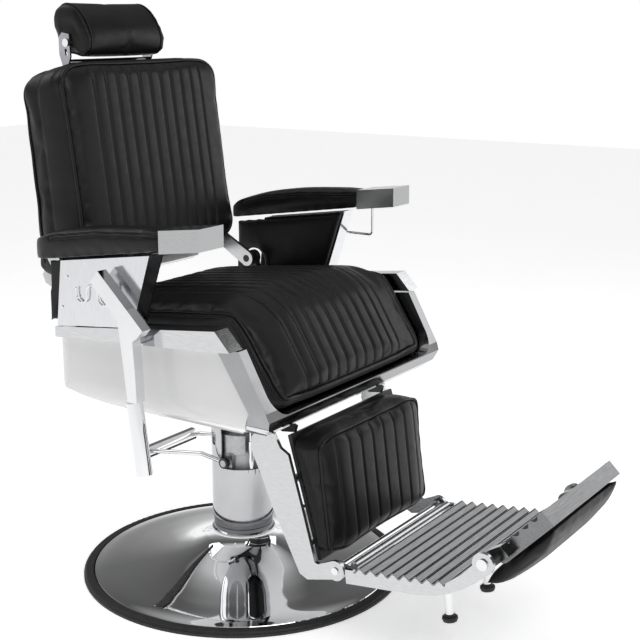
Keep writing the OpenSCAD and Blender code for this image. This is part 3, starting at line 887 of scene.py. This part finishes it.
puff(shell, 0.006, 3.0, shell_rest)
tree = bvh(shell)
edge = even(np.array([(x, 262 + (z - 640) * 0.12, z) for x, z in rrect(241, 640, 1038, 53, 24)]) * MM, 320, True)
edge, n = snap(tree, edge, 0.0006, 4)
loft("back_boxing", back_pipe, edge, "back", 0.0035, True, (0, 0.27, 0.84))
loop = [(x, 322 + (z - 800) * 0.12, z) for x, z in rrect(229, 632, 1026, 44)]
p, n = snap(tree, resample(np.array(loop) * MM, 0.007), 0.0, 5)
press_along(shell, p, 0.0018, 0.005)
tube("back_shell_piping", p + n * 0.0004, 0.0028, "leather_piping", "back")
finish_soft(shell, "back_shell", "back", fill=0.7)

# ------------------------------------------------------------------ headrest
head = start_shape("headrest_cushion", "headrest_leather", 0.0045, None, inset=0.004, rounds=7)


def head_rest(co, nr):
    return np.clip(sstep(-nr[:, 2], 0.5, 0.9) * 0.6 + (np.abs(co[:, 0]) > 0.114) * 0.8, 0, 1)


puff(head, 0.008, 4.0, head_rest)
head_line = [(292, 1049), (280, 1058), (275, 1072), (274, 1090), (283, 1112), (297, 1133), (312, 1149), (328, 1159), (345, 1163),
             (361, 1159), (373, 1147), (380, 1129), (380, 1112), (374, 1094), (370, 1076), (364, 1064), (352, 1057), (322, 1056), (310, 1050)]
for sx, nm in ((-1, "right"), (1, "left")):
    ring = resample(np.array([(sx * 104, y, z) for y, z in head_line]) * MM, 0.005)
    p, n = snap(bvh(head), ring, 0.0, 3)
    p[:, 0] = sx * 0.104
    press_along(head, p, 0.0018, 0.004)
    tube("headrest_piping_" + nm, p - n * 0.0004, 0.0020, "leather_piping", "headrest")
finish_soft(head, "headrest_cushion", "headrest", fill=0.9)

# ------------------------------------------------------------------ arm pads and panels
for side, sx in (("left", 1), ("right", -1)):
    pad = start_shape("arm_pad_" + side, "arm_pad_leather_" + side, 0.0045, None, inset=0.003, rounds=5)

    def pad_rest(co, nr):
        return np.clip(sstep(-nr[:, 2], 0.4, 0.8) + (co[:, 1] < -0.088) * 0.8, 0, 1)

    puff(pad, 0.006, 3.5, pad_rest)
    tree = bvh(pad)
    for xx, k in ((sx * 353, "outer"), (sx * 288, "inner")):
        pts = [(xx, y, 0.0) for y in range(-90, 176 if k == "outer" else 220, 10)]
        top = lambda y: float(np.interp(y, [-95, -60, 60, 160, 226, 244], [770, 770, 762, 747, 728, 714]))
        pts = [(x, y, top(y) - 10) for x, y, _ in pts]
        p, n = snap(tree, resample(np.array(pts) * MM, 0.005, False), 0.0, 4, False)
        press_along(pad, p, 0.0018, 0.004)
        tube("arm_pad_seam_%s_%s" % (side, k), p - n * 0.0009, 0.0017, "leather_piping", "seat", closed=False, sides=8)
    finish_soft(pad, "arm_pad_" + side, "seat", fill=0.85)

    panel = start_shape("arm_panel_" + side, "arm_panel_leather_" + side, 0.004, None, inset=0.0015, rounds=3)

    def panel_rest(co, nr, sx=sx):
        return np.clip(sstep(nr[:, 0] * sx, 0.3, 0.7), 0, 1)

    puff(panel, 0.003, 3.0, panel_rest)
    finish_soft(panel, "arm_panel_" + side, "seat", fill=0.5)

# ------------------------------------------------------------------ leg cushion
leg_line = [(-250.6, 385.5), (-258, 389), (-305, 389), (-318, 382), (-344, 172), (-341, 161), (-318.2, 155)]
leg = start_shape("leg_cushion", "leg_cushion_leather", 0.0045,
                  dome(leg_line, 120, 186, 11, 40), inset=0.0, rounds=6)


def leg_rest_f(co, nr):
    return np.clip(sstep(nr[:, 1], 0.2, 0.6), 0, 1)


puff(leg, 0.008, 4.0, leg_rest_f)
leg_seams = [(i - 3.5) * 0.040 for i in range(8)]


def leg_mask(co, nr):
    up = sstep(-nr[:, 1], 0.45, 0.75)
    return up * (1 - sstep(np.abs(co[:, 0]), 0.150, 0.165)) * sstep(co[:, 2], 0.164, 0.172) * (1 - sstep(co[:, 2], 0.374, 0.382))


channels(leg, leg_seams, leg_mask, 0.0022, 0.0026, 0.0012)
tree = bvh(leg)
loop = [(x, -344 + (z - 172) * 0.124 + 5, z) for x, z in rrect(180, 160, 384, 26)]
p, n = snap(tree, resample(np.array(loop) * MM, 0.005), 0.0, 4)
press_along(leg, p, 0.0020, 0.005)
tube("leg_cushion_piping", p + n * 0.0005, 0.0030, "leather_piping", "leg_rest")
stitches("leg_channel_thread", seam_rows(leg, leg_seams, [(-314, 378), (-322, 330), (-340, 200), (-343, 168)]), "leg_rest", 0.0050, 0.0040, 0.0006)
finish_soft(leg, "leg_cushion", "leg_rest", fill=0.85)

# ------------------------------------------------------------------ kick pad
kick = start_shape("kick_pad", "kick_pad_leather", 0.0045, None, inset=0.003, rounds=6)
puff(kick, 0.006, 3.5, None)
finish_soft(kick, "kick_pad", "kick_plate", mat="leather_satin", fill=0.8)

# ------------------------------------------------------------------ floor, light, camera
fl = bpy.data.meshes.new("floor")
fl.from_pydata([(-9, -9, 0), (9, -9, 0), (9, 9, 0), (-9, 9, 0)], [], [(0, 1, 2, 3)])
floor = link(bpy.data.objects.new("floor", fl))
m, nt, b = new_mat("floor_pale")
nt.links.new(ramp(nt, noise(nt, coords(nt), 3), (0.93, 0.93, 0.93), (0.95, 0.95, 0.95)), b.inputs["Base Color"])
b.inputs["Roughness"].default_value = 0.8
b.inputs["Specular IOR Level"].default_value = 0.1
b.inputs["Emission Color"].default_value = (1, 1, 1, 1)
b.inputs["Emission Strength"].default_value = 0.52
fl.materials.append(m)
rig.stage(floor)

w = bpy.data.worlds.new("studio")
scene.world = w
w.use_nodes = True
wn = w.node_tree
bg = next(n for n in wn.nodes if n.type == "BACKGROUND")
tc = wn.nodes.new("ShaderNodeTexCoord")
sep = wn.nodes.new("ShaderNodeSeparateXYZ")
wn.links.new(tc.outputs["Generated"], sep.inputs["Vector"])
cr = wn.nodes.new("ShaderNodeValToRGB")
els = cr.color_ramp.elements
els[0].position, els[0].color = 0.0, (1.0, 1.0, 1.0, 1)
els[1].position, els[1].color = 1.0, (0.7, 0.7, 0.7, 1)
for pos, v in ((0.512, 1.0), (0.55, 0.62), (0.60, 0.34), (0.70, 0.16), (0.80, 0.10), (0.88, 0.55)):
    e = els.new(pos)
    e.color = (v, v, v, 1)
mr = wn.nodes.new("ShaderNodeMapRange")
mr.inputs["From Min"].default_value = -1
mr.inputs["From Max"].default_value = 1
wn.links.new(sep.outputs["Z"], mr.inputs["Value"])
wn.links.new(mr.outputs["Result"], cr.inputs["Fac"])
wn.links.new(cr.outputs["Color"], bg.inputs["Color"])
bg.inputs["Strength"].default_value = 1.0


def area(name, loc, aim, size, size_y, power):
    l = bpy.data.lights.new(name, "AREA")
    l.shape = "RECTANGLE"
    l.size, l.size_y = size, size_y
    l.energy = power
    o = link(bpy.data.objects.new(name, l))
    o.location = loc
    o.rotation_euler = (Vector(aim) - Vector(loc)).to_track_quat("-Z", "Y").to_euler()
    return o


area("key", (-1.2, -2.2, 2.6), (0, -0.1, 0.6), 1.8, 1.4, 24)
area("fill", (2.4, -1.4, 1.6), (0, 0, 0.6), 1.4, 1.6, 9)
area("rim", (-0.6, 2.4, 2.6), (0, 0, 0.8), 2.0, 1.2, 14)

cam = bpy.data.cameras.new("camera")
cam.sensor_width = 36
cam.lens = 36 * 1259.9 / 640
camera = link(bpy.data.objects.new("camera", cam))
a, e = math.radians(-56.2), math.radians(-13.4)
fwd = Vector((-math.sin(a) * math.cos(e), math.cos(a) * math.cos(e), math.sin(e)))
right = Vector((math.cos(a), math.sin(a), 0))
up = right.cross(fwd)
R = Matrix((right, up, -fwd)).transposed()
camera.matrix_world = Matrix.Translation(Vector((-1.9769, -1.5172, 1.1242))) @ R.to_4x4()
scene.camera = camera
scene.view_settings.view_transform = "Standard"

visual_bounds = [list(map(float, p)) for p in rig.bounds()]
try:
    with open("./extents.json", "w") as f:
        json.dump({"cad_box": cad_bounds, "visual_box": visual_bounds}, f, indent=1)
except OSError:
    pass
